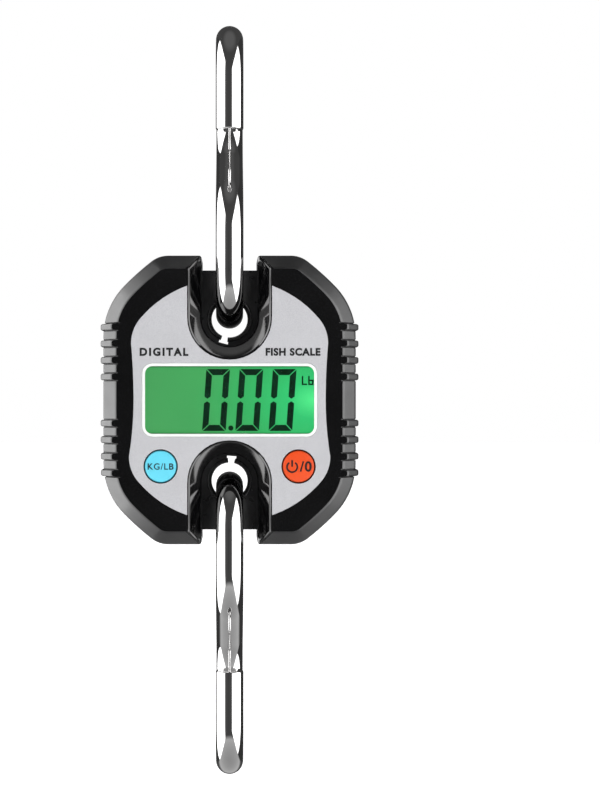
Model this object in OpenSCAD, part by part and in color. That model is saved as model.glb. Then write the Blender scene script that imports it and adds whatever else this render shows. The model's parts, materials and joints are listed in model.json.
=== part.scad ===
// Hanging digital scale: a two-shell case hung between two S-hooks on a steel load cell.
// Frame: the load cell's centre is the origin, X is right, Z is up and the display faces -Y.

/* [Case] */
// Case width without its side ribs
case_w = 83.2; // [82:0.2:88]
// Case height over the ears
case_h = 95.2; // [94:0.2:100]
// Distance from the eye plane to the front face
case_front = 15; // [14.6:0.1:16]
// Distance from the eye plane to the back face
case_back = 17; // [17:0.1:19]
// Wall thickness of both shells
wall = 2; // [1.8:0.1:2.2]
// Width of the bevel round the case, seen from the front
bevel_w = 4.4; // [3.6:0.1:4.8]
// Depth of that bevel
bevel_d = 5; // [4:0.1:5.5]
// Radius of the arc at each ear's outer corner
shoulder_r = 9; // [7:0.5:11]
// Radius of the nearly straight diagonal flank
flank_r = 88; // [70:1:110]
// Radius of the arc from flank to side
side_r = 24; // [20:0.5:26]

/* [Eyes and notches] */
// Height of each eye above and below the centre
eye_z = 27; // [26.5:0.1:28]
// Width of the slot between the ears
slot_w = 18.4; // [18:0.1:20]
// Width of the bevel round each notch, seen from the front
notch_bevel_w = 4.1; // [3:0.05:4.3]

/* [Hooks] */
// Diameter of the hook rod
rod_d = 9; // [8:0.1:9.4]
// Radius of each end loop, at the rod's centreline
loop_r = 14.5; // [13.5:0.1:16]
// Height of a hook over its two crowns
hook_h = 101; // [98:0.5:106]
// Distance from a crown to the end of its tip
tip_reach = 36.8; // [34:0.2:40]
// Radius of the two bends in the shank
shank_bend_r = 18; // [16:0.5:20]

/* [Load cell] */
// Thickness of the load cell plate
cell_t = 6; // [5:0.2:6.4]
// Width of the plate, whose edges lie in the shells
cell_w = 24; // [23:0.5:25]
// Height of the plate
cell_h = 86.4; // [84:0.2:88]

/* [Display and keys] */
// Width of the clear window
window_w = 55.2; // [54:0.2:56]
// Height of the clear window
window_h = 22.1; // [21:0.1:22.4]
// Distance of each key from the middle
key_x = 22.5; // [22:0.1:23]
// Distance of the keys below the centre
key_z = 21.7; // [21:0.05:22]
// Radius of a key's cap
key_r = 5.1; // [4.6:0.1:5.3]
// Travel of a key
key_travel = 0.35; // [0.2:0.05:0.5]

/* [Battery bay] */
// Diameter of an AAA cell
battery_d = 10.5; // [10.2:0.1:10.5]
// Length of an AAA cell's case
battery_l = 43.7; // [43:0.1:44]
// Width of the battery door
door_w = 60; // [59:0.5:61]
// Height of the battery door
door_h = 25; // [24.8:0.1:25.2]

/* [Hidden] */
$fn = 48;
eps = 0.01;

y_front = -case_front;
y_back = case_back;
y_split = (y_front + y_back) / 2;
half_w = case_w / 2;
half_h = case_h / 2;
slot_r = slot_w / 2;

// Case outline: a shoulder arc, a flank arc and a side arc, each tangent to the next.
shoulder_turn = 38;
flank_turn = 8;
normal_a = 90 - shoulder_turn;
normal_b = normal_a - flank_turn;
shoulder_x = half_w - side_r * (1 - cos(normal_b)) - flank_r * (cos(normal_b) - cos(normal_a))
    - shoulder_r * cos(normal_a);
shoulder_c = [shoulder_x, half_h - shoulder_r];
flank_c = shoulder_c + (shoulder_r - flank_r) * [cos(normal_a), sin(normal_a)];
side_c = flank_c + (flank_r - side_r) * [cos(normal_b), sin(normal_b)];

// Side ribs
rib_out = 0.9;
rib_t = 2.2;
rib_pitch = 5.45;
rib_first_z = 7.6;
rib_count = 4;
rib_land_x = 38.7;

// Face panel outline
panel_t = 0.5;
panel_waist = 31.35;
panel_bulge_top = 32.15;
panel_bulge_bottom = 32.85;
panel_bulge_z = 18.5;
panel_corner_r = 12.5;
panel_corner_turn = 40;
panel_brow_r = 36.4;
panel_brow_turn = 30;
panel_gap = 0.1;

// Display stack, by the depth of each front face
frame_w = 0.95;
window_r = 2.4;
lens_t = 1;
gasket_t = 0.8;
glass_w = 60;
glass_h = 25.2;
glass_t = 2.6;
segment_t = 0.15;
light_t = 3;
pcb_t = 1.6;
y_wall = y_front + wall;
y_gasket = y_wall + 0.05;
y_glass = y_gasket + gasket_t;
y_light = y_glass + glass_t;
y_pcb = y_light + light_t + 0.1;
y_pcb_back = y_pcb + pcb_t;
digit_h = 20.3;
digit_w = 7.75;
digit_pitch = 10.9;
digit_slant = 4;
digit_first_x = -4.45;
digit_count = 3;
digit_mid_gap = 0.85;
segment_w = 2;
segment_gap = 0.22;
point_r = 0.85;
point_x = 4.85;
unit_mark_x = 23.65;
unit_mark_z = 4.9;
unit_mark_h = 2.95;
unit_mark_t = 0.5;
unit_mark_w = 1.75;

// Circuit board
pcb_w = 72;
pcb_top = 14.6;
pcb_lobe_in = 13.2;
pcb_lobe_out = 32.5;
pcb_lobe_z = -28;
pcb_screw_x = 33.7;
pcb_screw_z = 10.5;
pin_pitch = 3;
pin_count = 16;

// Key stack
key_hole_r = key_r + 0.25;
key_ring_r = key_r + 0.5;
key_proud = 0.25;
key_flange_r = key_r + 1;
key_flange_t = 0.8;
switch_w = 6;
switch_t = 3.2;
plunger_r = 1.75;
plunger_out = 0.9;
y_switch = y_pcb - switch_t;
y_plunger = y_switch - plunger_out;

// Eye, bush and hook
rod_r = rod_d / 2;
bush_bore_r = 6;
bush_mouth_r = 6.7;
bush_out_r = 7;
bush_flange_r = 7.5;
bush_flange_t = 0.5;
bush_fit = 0.05;
bush_gap_w = 1.9;
bush_gap_flare = 14;
bush_gap_angle_top = -15;
bush_gap_angle_bottom = -5;
keyway_w = 2.7;
keyway_r = 8.35;
loop_w = hook_h / 2 - rod_r - loop_r;
shank_lean = atan(4 / 3);
shank_l = (2 * loop_r - 2 * shank_bend_r * (1 - cos(shank_lean))) / sin(shank_lean);
shank_w = shank_bend_r * sin(shank_lean) + shank_l / 2 * cos(shank_lean);
hook_z = eye_z + bush_bore_r - bush_fit + loop_w + loop_r - rod_r;
tip_chamfer = 0.8;
weld_swell = 0.03;

// Load cell
cell_slit_z = 10.6;
cell_slit_t = 1.4;
cell_slit_reach = 5;
cell_window_r = 5;
cell_window_x = 4;
cell_screw_x = 9;
cell_screw_z = 16.5;
cell_clear = 0.3;

// Case screws
screw_hole_r = 1.15;
screw_shank_r = 1.1;
screw_fit = 0.05;
screw_top = [28.9, 30.45];
screw_bottom = [26.3, 33.6];
well_r = 3.3;
well_floor_y = 7.5;
boss_r = 4.6;
front_boss_r = 3.4;

// Battery bay
bay_w = 51.4;
bay_h = 22;
bay_wall = 1.2;
bay_floor_y = cell_t / 2 + cell_clear + 0.4;
battery_z = 5.4;
battery_y = bay_floor_y + 1 + 0.1 + battery_d / 2;
door_t = 1.5;
door_gap = 0.08;
hinge_r = door_t / 2 - 0.02;
hinge_x = -door_w / 2 + door_t / 2 + 0.03;
hinge_y = y_back - door_t / 2;
hinge_pin_r = 0.5;
hinge_pin_l = 1;
contact_t = 0.4;
spring_r = 3.2;
spring_tip_r = 1.9;
spring_turns = 4;
spring_wire_r = 0.35;
wire_sides = 8;
gauge_wire_r = 0.25;
battery_wire_r = 0.6;

// ---------------------------------------------------------------- shared shapes

function arc_points(c, r, a0, a1, n, first = 0) =
    [for (i = [first:n]) c + r * [cos(a0 + (a1 - a0) * i / n), sin(a0 + (a1 - a0) * i / n)]];
function flip_x(p) = [for (q = p) [-q[0], q[1]]];
function flip_z(p) = [for (q = p) [q[0], -q[1]]];
function backwards(p) = [for (i = [len(p) - 1:-1:0]) p[i]];

// One corner of the case, from the top of the ear round to the side, moved in by inset
function corner_points(inset) = concat(
    arc_points(shoulder_c, shoulder_r - inset, 90, normal_a, 5),
    arc_points(flank_c, flank_r - inset, normal_a, normal_b, 3, 1),
    arc_points(side_c, side_r - inset, normal_b, 0, 8, 1));
function case_points(inset) = let (q = corner_points(inset)) concat(
    q, backwards(flip_z(q)), flip_x(flip_z(q)), backwards(flip_x(q)));

// A notch: half a circle round the eye, open to the top
function notch_points(r) = concat(
    arc_points([0, eye_z], r, 0, -180, 20), [[-r, half_h + 5], [r, half_h + 5]]);

// A slab along Y whose section is the 2D child, drawn in X and Z
module slab(y0, y1) {
    translate([0, y1, 0]) rotate([90, 0, 0]) linear_extrude(height = y1 - y0) children();
}

module y_cylinder(r, y0, y1, at = [0, 0]) {
    translate([at[0], y1, at[1]]) rotate([90, 0, 0]) cylinder(r = r, h = y1 - y0);
}

module rounded_rect(w, h, r) {
    polygon(concat(
        arc_points([w / 2 - r, h / 2 - r], r, 90, 0, 6),
        arc_points([w / 2 - r, r - h / 2], r, 0, -90, 6),
        arc_points([r - w / 2, r - h / 2], r, -90, -180, 6),
        arc_points([r - w / 2, h / 2 - r], r, -180, -270, 6)));
}

module box(x0, x1, y0, y1, z0, z1) {
    translate([x0, y0, z0]) cube([x1 - x0, y1 - y0, z1 - z0]);
}

// A solid through convex outlines of equal length, one at each depth in ys
module loft(ys, outlines) {
    n = len(outlines[0]);
    m = len(ys);
    points = [for (i = [0:m - 1]) for (p = outlines[i]) [p[0], ys[i], p[1]]];
    sides = [for (i = [0:m - 2]) for (k = [0:n - 1]) let (j = (k + 1) % n)
        [i * n + k, (i + 1) * n + k, (i + 1) * n + j, i * n + j]];
    polyhedron(points = points, faces = concat(
        [[for (k = [0:n - 1]) k]], sides, [[for (k = [n - 1:-1:0]) (m - 1) * n + k]]));
}

// Corners of a route cut off twice, so that it bends smoothly between its two ends
function cut_corners(p) = concat([p[0]],
    [for (i = [0:len(p) - 2]) each [0.75 * p[i] + 0.25 * p[i + 1], 0.25 * p[i] + 0.75 * p[i + 1]]],
    [p[len(p) - 1]]);
function smooth_route(p) = cut_corners(cut_corners(p));
function unit(v) = v / norm(v);
function route_way(p, i) = unit(p[min(i + 1, len(p) - 1)] - p[max(i - 1, 0)]);

// A round wire along a route that never runs along up, as one swept tube
module wire(route, r, up) {
    p = smooth_route(route);
    n = wire_sides;
    points = [for (i = [0:len(p) - 1]) let (
        side = unit(cross(route_way(p, i), up)),
        across = cross(side, route_way(p, i)))
        for (k = [0:n - 1]) p[i] + r * (cos(360 * k / n) * side + sin(360 * k / n) * across)];
    sides = [for (i = [0:len(p) - 2]) for (k = [0:n - 1]) let (
        a = i * n + k,
        b = i * n + (k + 1) % n)
        each [[a, b, b + n], [a, b + n, a + n]]];
    polyhedron(points = points, faces = concat(
        [[for (k = [n - 1:-1:0]) k]], sides, [[for (k = [0:n - 1]) (len(p) - 1) * n + k]]));
}

module at_ends() {
    children();
    mirror([0, 0, 1]) children();
}

module at_sides() {
    children();
    mirror([1, 0, 0]) children();
}

// Front-to-back mirror about the plane where the shells meet, for a case side at depth
module shell_side(side) {
    if (side < 0) children();
    else translate([0, 2 * y_split, 0]) mirror([0, 1, 0]) children();
}

// ---------------------------------------------------------------- case

// One half of the case's outer form, from its outer face to the split
module case_half() {
    loft([y_front, y_front + 0.35, y_front + bevel_d, y_front + bevel_d + 0.8, y_split], [
        case_points(bevel_w + 0.35), case_points(bevel_w), case_points(0.12), case_points(0),
        case_points(0)]);
}

module case_cavity() {
    loft([y_front + wall, y_front + bevel_d + 0.9, y_split + eps], [
        case_points(bevel_w + 1.1), case_points(wall), case_points(wall)]);
}

// The bevelled notch between two ears, or the wall that lines it when grow is the wall's thickness
module notch(grow) {
    loft([y_front - eps, y_front + bevel_d, y_split + 1], [
        notch_points(slot_r + notch_bevel_w + grow), notch_points(slot_r + grow),
        notch_points(slot_r + grow)]);
}

module rib(z) {
    translate([0, 0, z - rib_t / 2]) linear_extrude(height = rib_t) polygon([
        [half_w - 1, y_split], [half_w + rib_out, y_split], [half_w + rib_out, y_front + 4.2],
        [rib_land_x + 0.25, y_front + 0.25], [rib_land_x, y_front], [half_w - bevel_w - 1, y_front],
        [half_w - bevel_w - 1, y_front + 0.8], [half_w - 1, y_front + bevel_d + 0.8]]);
}

module ribs() {
    at_ends() at_sides() for (i = [0:rib_count - 1]) rib(rib_first_z + i * rib_pitch);
}

module case_shell() {
    difference() {
        union() {
            case_half();
            ribs();
        }
        difference() {
            case_cavity();
            at_ends() notch(wall);
        }
        at_ends() notch(0);
    }
}

// The space that the load cell takes through the notch walls
module cell_pocket(y0, y1) {
    slab(y0, y1) square([cell_w + 2 * cell_clear, cell_h + 2 * cell_clear], center = true);
}

module at_case_screws() {
    at_sides() {
        translate([screw_top[0], 0, screw_top[1]]) children();
        translate([screw_bottom[0], 0, -screw_bottom[1]]) children();
    }
}

module at_pcb_screws() {
    at_ends() at_sides() translate([pcb_screw_x, 0, pcb_screw_z]) children();
}

module front_housing() {
    color([0.06, 0.06, 0.065]) difference() {
        union() {
            case_shell();
            at_case_screws() y_cylinder(front_boss_r, y_wall - eps, y_split);
            at_pcb_screws() y_cylinder(2.2, y_wall - eps, y_pcb);
        }
        slab(y_front - 1, y_front + panel_t) panel_outline(-panel_gap);
        slab(y_front - 1, y_wall + 1) rounded_rect(window_w, window_h, window_r);
        for (s = [-1, 1]) y_cylinder(key_hole_r, y_front - 1, y_wall + 1, [s * key_x, -key_z]);
        at_case_screws() y_cylinder(screw_hole_r, y_wall + 1.5, y_split + 1);
        at_pcb_screws() y_cylinder(0.9, y_wall + 1, y_pcb + 1);
        cell_pocket(-cell_t / 2 - cell_clear, y_split + 1);
    }
}

module rear_housing() {
    color([0.055, 0.055, 0.06]) difference() {
        union() {
            shell_side(1) case_shell();
            at_case_screws() y_cylinder(boss_r, y_split, y_back - wall + eps);
            at_sides() y_cylinder(2.2, cell_t / 2, y_back - wall + eps, [cell_screw_x, cell_screw_z]);
            slab(bay_floor_y, y_back - wall + eps)
                square([bay_w + 2 * bay_wall, bay_h + 2 * bay_wall], center = true);
            box(-door_w / 2 - 1.6, door_w / 2 + 1.6, y_back - door_t - 1.2, y_back - wall + eps,
                -door_h / 2 - 0.6, door_h / 2 + 0.6);
        }
        slab(bay_floor_y + 1, y_back + 1) square([bay_w, bay_h], center = true);
        slab(y_back - door_t, y_back + 1) square([door_w, door_h], center = true);
        translate([hinge_x, hinge_y, -door_h / 2 - hinge_pin_l - 0.1])
            cylinder(r = hinge_pin_r + screw_fit, h = door_h + 2 * hinge_pin_l + 0.2);
        box(door_w / 2 - 1, door_w / 2 + 1, y_back - 0.9, y_back + 1, -4.5, 4.5);
        at_case_screws() y_cylinder(well_r, well_floor_y, y_back + 1);
        at_case_screws() y_cylinder(screw_shank_r + 0.25, y_split - 1, well_floor_y + 1);
        at_sides() y_cylinder(0.9, cell_t / 2 - 1, y_back - wall - 2, [cell_screw_x, cell_screw_z]);
        cell_pocket(y_split - 1, cell_t / 2 + cell_clear);
        bay_wire_holes();
    }
    color([0.055, 0.055, 0.06]) cell_posts();
}

// Small posts that reach through the pocket to the load cell's back face
module cell_posts() {
    at_sides() difference() {
        y_cylinder(1.9, cell_t / 2, bay_floor_y + 1, [cell_screw_x, cell_screw_z]);
        y_cylinder(0.9, cell_t / 2 - 1, bay_floor_y + 2, [cell_screw_x, cell_screw_z]);
    }
}

module bay_wire_holes() {
    for (s = [-1, 1]) translate([-bay_w / 2 - bay_wall - 1, bay_floor_y + 2.6, s * 8.6])
        rotate([0, 90, 0]) cylinder(r = 0.9, h = bay_wall + 2);
}

// ---------------------------------------------------------------- face panel and window

panel_brow_c = [panel_bulge_top - panel_corner_r, panel_bulge_z]
    + (panel_corner_r - panel_brow_r) * [cos(panel_corner_turn), sin(panel_corner_turn)];

// The right-hand edge of one half of the panel: the waist, the corner and the brow
function panel_edge(bulge, grow) = concat(
    [for (i = [1:5]) let (t = i / 6) [panel_waist + (bulge - panel_waist) * t * t + grow, panel_bulge_z * t]],
    arc_points([bulge - panel_corner_r, panel_bulge_z], panel_corner_r + grow, 0, panel_corner_turn, 8),
    arc_points(panel_brow_c + [bulge - panel_bulge_top, 0], panel_brow_r + grow, panel_corner_turn,
        panel_corner_turn + panel_brow_turn + 4, 8, 1));
function panel_points(grow) = let (
    top = panel_edge(panel_bulge_top, grow),
    low = flip_z(panel_edge(panel_bulge_bottom, grow)),
    right = concat(backwards(top), [[panel_waist + grow, 0]], low))
    concat(right, backwards(flip_x(right)));

// The panel's outline, without its openings; a negative shrink grows it
module panel_outline(shrink) {
    difference() {
        polygon(panel_points(-shrink));
        for (s = [-1, 1]) polygon([for (p = notch_points(slot_r + notch_bevel_w + shrink + 0.55)) [p[0], s * p[1]]]);
    }
}

module face_panel() {
    color([0.78, 0.78, 0.8]) slab(y_front + 0.02, y_front + panel_t) difference() {
        panel_outline(0);
        rounded_rect(window_w + 2 * frame_w + 0.1, window_h + 2 * frame_w + 0.1, window_r + frame_w);
        for (s = [-1, 1]) translate([s * key_x, -key_z]) circle(r = key_ring_r);
    }
}

module window_frame() {
    color("white") slab(y_front - 0.03, y_front + panel_t) difference() {
        rounded_rect(window_w + 2 * frame_w, window_h + 2 * frame_w, window_r + frame_w);
        rounded_rect(window_w, window_h, window_r);
    }
}

module window_lens() {
    color([0.85, 0.95, 0.9, 0.35]) slab(y_front + 0.1, y_front + 0.1 + lens_t)
        rounded_rect(window_w - 0.1, window_h - 0.1, window_r);
}

// ---------------------------------------------------------------- display

module lcd_gasket() {
    color([0.12, 0.12, 0.12]) slab(y_gasket, y_glass) difference() {
        square([glass_w, glass_h], center = true);
        square([glass_w - 3.2, glass_h - 2], center = true);
    }
}

module lcd_glass() {
    color([0.35, 0.85, 0.45]) slab(y_glass, y_light) square([glass_w, glass_h], center = true);
}

// The top bar and the upper right bar of a seven-segment digit, mitred where they meet
function bar_across() = let (w = digit_w / 2, h = digit_h / 2, t = segment_w, g = segment_gap)
    [[g - w, h], [w - g, h], [w - t - g, h - t], [t + g - w, h - t]];
function bar_upright() = let (w = digit_w / 2, h = digit_h / 2, t = segment_w, m = digit_mid_gap / 2)
    [[w, h - segment_gap], [w, m + t / 3], [w - t / 2, m], [w - t, m + t / 3], [w - t, h - t - segment_gap]];
function slanted(p) = [for (q = p) [q[0] + q[1] * tan(digit_slant), q[1]]];

module digit_zero() {
    for (bar = [bar_across(), bar_upright(), flip_x(bar_upright())]) {
        polygon(slanted(bar));
        polygon(slanted(flip_z(bar)));
    }
}

// The unit mark at the right of the reading: the letters L and b as plain strokes
module unit_mark() {
    t = unit_mark_t;
    w = unit_mark_w;
    h = unit_mark_h;
    translate([unit_mark_x, unit_mark_z]) {
        square([t, h]);
        square([w, t]);
        translate([w + 0.35, 0]) {
            square([t, h]);
            difference() {
                square([w, h * 0.6]);
                translate([t, t]) square([w - 2 * t, h * 0.6 - 2 * t]);
            }
        }
    }
}

module lcd_segments() {
    color([0.04, 0.16, 0.12]) slab(y_glass - segment_t, y_glass) {
        for (i = [0:digit_count - 1]) translate([digit_first_x + i * digit_pitch, 0]) digit_zero();
        translate([digit_first_x + point_x, point_r - digit_h / 2 + 0.1]) circle(r = point_r);
        unit_mark();
    }
}

module lcd_backlight() {
    color([0.95, 0.97, 0.92]) slab(y_light, y_light + light_t) square([glass_w + 1.6, glass_h], center = true);
}

module backlight_leds() {
    color([0.95, 0.95, 0.85]) for (z = [-7, 0, 7])
        box(glass_w / 2 + 0.85, glass_w / 2 + 1.9, y_light + 0.6, y_pcb, z - 1.6, z + 1.6);
}

module lcd_pins() {
    z = -glass_h / 2;
    color([0.75, 0.75, 0.72]) for (i = [0:pin_count - 1]) {
        x = (i - (pin_count - 1) / 2) * pin_pitch;
        box(x - 0.25, x + 0.25, y_glass + 0.9, y_pcb, z - 0.7, z - 0.2);
        box(x - 0.25, x + 0.25, y_glass + 0.9, y_glass + 1.3, z - 0.25, z);
    }
}

// ---------------------------------------------------------------- circuit board

function pcb_half() = [
    [pcb_w / 2, pcb_top], [pcb_w / 2, -pcb_top], [pcb_lobe_out, -pcb_top - 3],
    [pcb_lobe_out, pcb_lobe_z], [pcb_lobe_in, pcb_lobe_z], [pcb_lobe_in, -pcb_top]];

module main_pcb() {
    color([0.07, 0.32, 0.16]) difference() {
        slab(y_pcb, y_pcb_back) polygon(concat(pcb_half(), backwards(flip_x(pcb_half()))));
        at_pcb_screws() y_cylinder(1.2, y_pcb - 1, y_pcb_back + 1);
    }
}

module pcb_screws() {
    color([0.6, 0.6, 0.62]) at_pcb_screws() {
        y_cylinder(0.85, y_wall + 1.5, y_pcb_back + eps);
        difference() {
            y_cylinder(1.9, y_pcb_back, y_pcb_back + 1.2);
            cross_recess(y_pcb_back + 1.2, 1, 2.2);
        }
    }
}

// Chips, a potted controller and small parts on the board's back face
module pcb_components() {
    y = y_pcb_back;
    color([0.08, 0.08, 0.09]) {
        translate([-22, y, -4]) rotate([-90, 0, 0]) scale_dome(5.2, 1.4);
        box(15.5, 21.5, y, y + 1.5, -9, 1);
        box(15, 21, y, y + 1.4, 4, 8.5);
        translate([27, y, -8]) rotate([-90, 0, 0]) cylinder(r = 2.5, h = 5.4);
        box(-21, -14.5, y, y + 1.5, -27, -22.5);
    }
    color([0.75, 0.62, 0.4]) for (i = [0:4]) {
        box(24 + i * 1.7, 25 + i * 1.7, y, y + 0.7, 2, 4);
        box(-33 + i * 2, -31.8 + i * 2, y, y + 0.6, 6, 7);
    }
    color([0.8, 0.8, 0.82]) box(-31, -28, y, y + 3.4, -12.5, -4.5);
}

module scale_dome(r, h) {
    sphere_r = (r * r + h * h) / (2 * h);
    intersection() {
        translate([0, 0, h - sphere_r]) sphere(r = sphere_r);
        cylinder(r = r, h = h);
    }
}

module cross_recess(y, depth, w) {
    for (a = [0, 90]) translate([0, y, 0]) rotate([0, a, 0])
        translate([-w / 2, -depth, -0.25]) cube([w, depth + 1, 0.5]);
}

// ---------------------------------------------------------------- keys

module switch_base(side) {
    color([0.1, 0.1, 0.1]) difference() {
        slab(y_switch, y_pcb) translate([side * key_x, -key_z]) square(switch_w, center = true);
        y_cylinder(plunger_r + 0.1, y_switch - 1, y_switch + 1.6, [side * key_x, -key_z]);
    }
}

module switch_plunger(side, shade) {
    color(shade) y_cylinder(plunger_r, y_plunger, y_switch + 1, [side * key_x, -key_z]);
}

module key(side, shade) {
    at = [side * key_x, -key_z];
    color(shade) {
        y_cylinder(key_r - 0.3, y_front - key_proud, y_front, at);
        y_cylinder(key_r, y_front - key_proud + 0.15, y_wall + 0.1, at);
        y_cylinder(key_flange_r, y_wall + 0.05, y_wall + 0.05 + key_flange_t, at);
        y_cylinder(1.6, y_wall + key_flange_t, y_plunger, at);
    }
}

// ---------------------------------------------------------------- load cell

// A slot cut inwards from an eye, wider at its far end
module keyway(angle) {
    rotate([0, angle, 0]) slab(-cell_t, cell_t) polygon([
        [-keyway_w / 2 + 0.3, 0], [keyway_w / 2 - 0.3, 0], [keyway_w / 2 + 0.25, -keyway_r],
        [-keyway_w / 2 - 0.25, -keyway_r]]);
}

module load_cell() {
    t = cell_t / 2;
    color([0.05, 0.05, 0.055]) difference() {
        slab(-t, t) square([cell_w, cell_h], center = true);
        for (s = [-1, 1]) y_cylinder(bush_out_r + bush_fit, -t - 1, t + 1, [0, s * eye_z]);
        translate([0, 0, eye_z]) keyway(-bush_gap_angle_top);
        translate([0, 0, -eye_z]) rotate([0, 180, 0]) keyway(-bush_gap_angle_bottom);
        for (s = [-1, 1]) {
            y_cylinder(cell_window_r, -t - 1, t + 1, [s * cell_window_x, 0]);
            rotate([0, s < 0 ? 180 : 0, 0])
                box(-cell_w / 2 - 1, cell_slit_reach, -t - 1, t + 1, cell_slit_z, cell_slit_z + cell_slit_t);
        }
        box(-cell_window_x, cell_window_x, -t - 1, t + 1, -cell_window_r, cell_window_r);
        at_sides() y_cylinder(1.3, -t - 1, t + 1, [cell_screw_x, cell_screw_z]);
    }
}

module strain_gauges() {
    z = cell_window_r;
    color([0.85, 0.55, 0.2]) at_ends() at_sides() box(0.6, 3.6, -2, 2, z - 0.2, z);
}

module load_cell_screws() {
    t = cell_t / 2;
    color([0.6, 0.6, 0.62]) at_sides() translate([cell_screw_x, 0, cell_screw_z]) {
        y_cylinder(0.85, -t - eps, t + 7);
        difference() {
            y_cylinder(2, -t - 1.3, -t);
            mirror([0, 1, 0]) cross_recess(t + 1.3, 0.9, 2.4);
        }
    }
}

module gauge_wires() {
    z = cell_window_r - 0.46;
    y = y_pcb_back + 0.8;
    color([0.8, 0.2, 0.15]) for (s = [-1, 1]) for (e = [-1, 1])
        wire([[s * 2.1, -1.6, e * z], [s * 2.1, y + 0.3, e * (z - 1)], [s * 5, y, e * (z - 2)],
            [s * 8, y, e * (z - 2.4)], [s * 8, y_pcb_back, e * (z - 2.4)]], gauge_wire_r, [0, 0, 1]);
}

// ---------------------------------------------------------------- batteries

// The wire from one end of the bay's -X wall to its pad on the board; the two mirror each other
module battery_wire(side, shade) {
    x = -bay_w / 2;
    y = bay_floor_y + 2.6;
    color(shade) wire([[x, y, side * 8.6], [x - 4, y, side * 8.6], [-34.2, y - 1, side * 8],
        [-34.6, 1.5, side * 4], [-32.5, y_pcb_back + 3.2, side * 1.5], [-31.5, y_pcb_back + 2, side * 1.2],
        [-31.5, y_pcb_back, side * 1.2]], battery_wire_r, [0, 0.6, -0.8 * side]);
}

module battery(side) {
    r = battery_d / 2;
    l = battery_l;
    color([0.15, 0.3, 0.6]) translate([0.7 * side, battery_y, side * battery_z]) rotate([0, 90 * side, 0]) {
        translate([0, 0, -l / 2]) cylinder(r = r - 0.4, h = l);
        translate([0, 0, -l / 2 + 0.5]) cylinder(r = r, h = l - 1.3);
        translate([0, 0, l / 2 - eps]) cylinder(r = 1.9, h = 0.8);
    }
}

// Cone-shaped coil from its base on the bay wall to its tip on the cell's flat end
module coil(x0, x1, z) {
    steps = 14;
    sides = 8;
    rings = spring_turns * steps;
    dx = (x1 - x0) / rings;
    points = [for (i = [0:rings]) let (
        t = i / rings,
        a = 360 * i / steps,
        r = spring_r + (spring_tip_r - spring_r) * t,
        x = x0 + dx * i)
        for (k = [0:sides - 1]) let (b = 360 * k / sides)
            [x + spring_wire_r * sin(b), battery_y + (r + spring_wire_r * cos(b)) * cos(a),
                z + (r + spring_wire_r * cos(b)) * sin(a)]];
    quads = [for (i = [0:rings - 1]) for (k = [0:sides - 1]) let (j = (k + 1) % sides)
        [i * sides + k, i * sides + j, (i + 1) * sides + j, (i + 1) * sides + k]];
    caps = [[for (k = [sides - 1:-1:0]) k], [for (k = [0:sides - 1]) rings * sides + k]];
    polyhedron(points = points, faces = concat(quads, caps));
}

module battery_springs() {
    x = bay_w / 2 - contact_t - spring_wire_r - 0.02;
    gap = battery_l / 2 - 0.7 + spring_wire_r + 0.02;
    color([0.8, 0.8, 0.78]) {
        coil(-x, -gap, battery_z);
        coil(x, gap, -battery_z);
    }
}

module battery_contacts() {
    x = bay_w / 2;
    y0 = bay_floor_y + 1.2;
    y1 = battery_y + 4;
    color([0.8, 0.8, 0.78]) {
        box(x - contact_t, x, y0, y1, -bay_h / 2 + 0.5, bay_h / 2 - 0.5);
        for (s = [-1, 1]) box(-x, contact_t - x, y0, y1, s * 5.5 - 4.7, s * 5.5 + 4.7);
        translate([x - contact_t - 1.9, battery_y, battery_z]) rotate([0, 90, 0]) cylinder(r = 2.4, h = 1.9 + eps);
        translate([-x, battery_y, -battery_z]) rotate([0, 90, 0]) cylinder(r = 2.4, h = contact_t + 1.9);
    }
}

module battery_door() {
    g = door_gap;
    color([0.06, 0.06, 0.065]) {
        difference() {
            box(hinge_x, door_w / 2 - g, y_back - door_t + 0.02, y_back - 0.02, g - door_h / 2, door_h / 2 - g);
            for (i = [0:2]) box(door_w / 2 - 5 + i * 1.2, door_w / 2 - 4.4 + i * 1.2, y_back - 0.4, y_back + 1, -4, 4);
        }
        translate([hinge_x, hinge_y, g - door_h / 2]) cylinder(r = hinge_r, h = door_h - 2 * g);
        translate([hinge_x, hinge_y, -door_h / 2 - hinge_pin_l + 0.1]) cylinder(r = hinge_pin_r, h = door_h + 2 * hinge_pin_l - 0.2);
        box(bay_w / 2 - 1.4, bay_w / 2 - 0.4, y_back - door_t - 1.1, y_back - door_t + 0.1, -4, 4);
    }
}

// ---------------------------------------------------------------- case screws

module housing_screws() {
    color([0.55, 0.55, 0.57]) at_case_screws() {
        y_cylinder(screw_shank_r, y_split - 7, well_floor_y + eps);
        difference() {
            y_cylinder(2.4, well_floor_y, well_floor_y + 1.6);
            cross_recess(well_floor_y + 1.6, 1.1, 2.8);
        }
    }
}

// ---------------------------------------------------------------- eyes and hooks

bush_half_t = cell_t / 2 + bush_fit + bush_flange_t;

// The bore narrows to its middle, so the hook's curve beds in it
function bush_bore(y) = bush_bore_r + (bush_mouth_r - bush_bore_r) * pow(y / bush_half_t, 2);

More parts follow.
